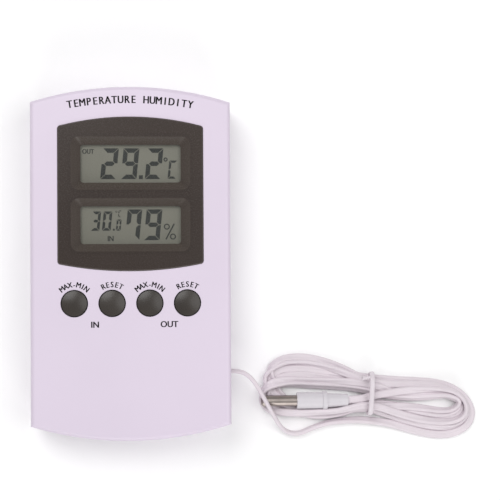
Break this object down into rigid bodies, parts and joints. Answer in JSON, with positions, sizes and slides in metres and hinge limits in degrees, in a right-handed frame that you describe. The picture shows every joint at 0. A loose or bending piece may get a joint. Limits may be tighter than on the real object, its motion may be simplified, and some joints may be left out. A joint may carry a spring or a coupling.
{
  "type": "maximum minimum thermometer",
  "caption": "Digital indoor and outdoor max-min thermometer with hygrometer, two display windows, push buttons and a wired steel probe on a tied white lead.",
  "frame": {"origin": "middle of the flat rear face of the case, on the surface it lies on, measured without the lead and probe", "axes": "+X across the case to the side where the lead leaves, +Y along the case to its top edge, +Z out of the front face"},
  "size_m": [0.1432, 0.1131, 0.0208],
  "materials": {
    "case_plastic": "lavender-white moulded plastic, satin",
    "bezel_plastic": "dark brown-black, semi-gloss",
    "button_plastic": "dark brown-black, glossy dome",
    "window_clear": "clear moulded window",
    "display_glass": "liquid crystal cell",
    "display_film": "grey-green polariser film",
    "display_reflector": "matt reflector film",
    "display_frame": "white moulded frame",
    "contact_rubber": "layered conductive rubber",
    "board_laminate": "green solder mask",
    "black_epoxy": "black potting",
    "sensor_housing": "white vented sensor case",
    "sensing_bead": "lacquered bead",
    "crystal_can": "plated can",
    "switch_housing": "black moulded housing",
    "switch_knob": "black knob",
    "cell_jacket": "printed cell jacket, plain",
    "contact_metal": "nickel plated spring steel",
    "wire_red": "red insulation",
    "wire_black": "black insulation",
    "screw_steel": "zinc plated",
    "lead_sheath": "white soft sheath",
    "grommet_plastic": "white soft bush",
    "tie_coating": "white coated wire",
    "probe_steel": "drawn stainless tube",
    "sleeve_plastic": "white moulded sleeve",
    "dome_rubber": "grey silicone"
  },
  "bodies": {
    "case": {"front_cover": "case_plastic", "rear_cover": "case_plastic", "case_screws": "screw_steel", "display_bezel": "bezel_plastic", "window_lens_upper": "window_clear", "window_lens_lower": "window_clear", "lcd_glass": "display_glass", "lcd_polariser": "display_film", "lcd_reflector": "display_reflector", "contact_strip_lower": "contact_rubber", "contact_strip_upper": "contact_rubber", "lcd_frame": "display_frame", "circuit_board": "board_laminate", "board_screws": "screw_steel", "controller_chip": "black_epoxy", "humidity_sensor": "sensor_housing", "air_thermistor": "sensing_bead", "quartz_crystal": "crystal_can", "unit_switch_body": "switch_housing", "battery_cell": "cell_jacket", "positive_contact": "contact_metal", "negative_contact": "contact_metal", "battery_spring": "contact_metal", "battery_wire_positive": "wire_red", "battery_wire_negative": "wire_black", "lead_tail": "lead_sheath", "lead_grommet": "grommet_plastic", "lead_run": "lead_sheath", "lead_hank": "lead_sheath", "hank_tie": "tie_coating", "probe_tube": "probe_steel", "probe_sleeve": "sleeve_plastic", "probe_thermistor": "sensing_bead", "rubber_dome_in_max_min": "dome_rubber", "rubber_dome_in_reset": "dome_rubber", "rubber_dome_out_max_min": "dome_rubber", "rubber_dome_out_reset": "dome_rubber"},
    "cap_in_max_min": {"button_in_max_min": "button_plastic"},
    "cap_in_reset": {"button_in_reset": "button_plastic"},
    "cap_out_max_min": {"button_out_max_min": "button_plastic"},
    "cap_out_reset": {"button_out_reset": "button_plastic"},
    "stand_leg": {"fold_out_stand": "case_plastic"},
    "bay_door": {"battery_door": "case_plastic"},
    "unit_knob": {"unit_switch_knob": "switch_knob"}
  },
  "joints": [
    {"name": "press_in_max_min", "type": "slide", "parent": "case", "child": "cap_in_max_min", "axis": [0, 0, -1], "range_m": [0, 0.0008], "stiffness_N_per_m": 600, "springref_m": -0.0008, "deforming": ["rubber_dome_in_max_min"]},
    {"name": "press_in_reset", "type": "slide", "parent": "case", "child": "cap_in_reset", "axis": [0, 0, -1], "range_m": [0, 0.0008], "stiffness_N_per_m": 600, "springref_m": -0.0008, "deforming": ["rubber_dome_in_reset"]},
    {"name": "press_out_max_min", "type": "slide", "parent": "case", "child": "cap_out_max_min", "axis": [0, 0, -1], "range_m": [0, 0.0008], "stiffness_N_per_m": 600, "springref_m": -0.0008, "deforming": ["rubber_dome_out_max_min"]},
    {"name": "press_out_reset", "type": "slide", "parent": "case", "child": "cap_out_reset", "axis": [0, 0, -1], "range_m": [0, 0.0008], "stiffness_N_per_m": 600, "springref_m": -0.0008, "deforming": ["rubber_dome_out_reset"]},
    {"name": "stand_hinge", "type": "hinge", "parent": "case", "child": "stand_leg", "pos_m": [0, 0.022, 0.0017], "axis": [1, 0, 0], "range_deg": [0, 65]},
    {"name": "door_hinge", "type": "hinge", "parent": "case", "child": "bay_door", "pos_m": [-0.00265, -0.03965, 0.0011], "axis": [-1, 0, 0], "range_deg": [0, 90]},
    {"name": "unit_slide", "type": "slide", "parent": "case", "child": "unit_knob", "axis": [1, 0, 0], "range_m": [0, 0.002]}
  ]
}
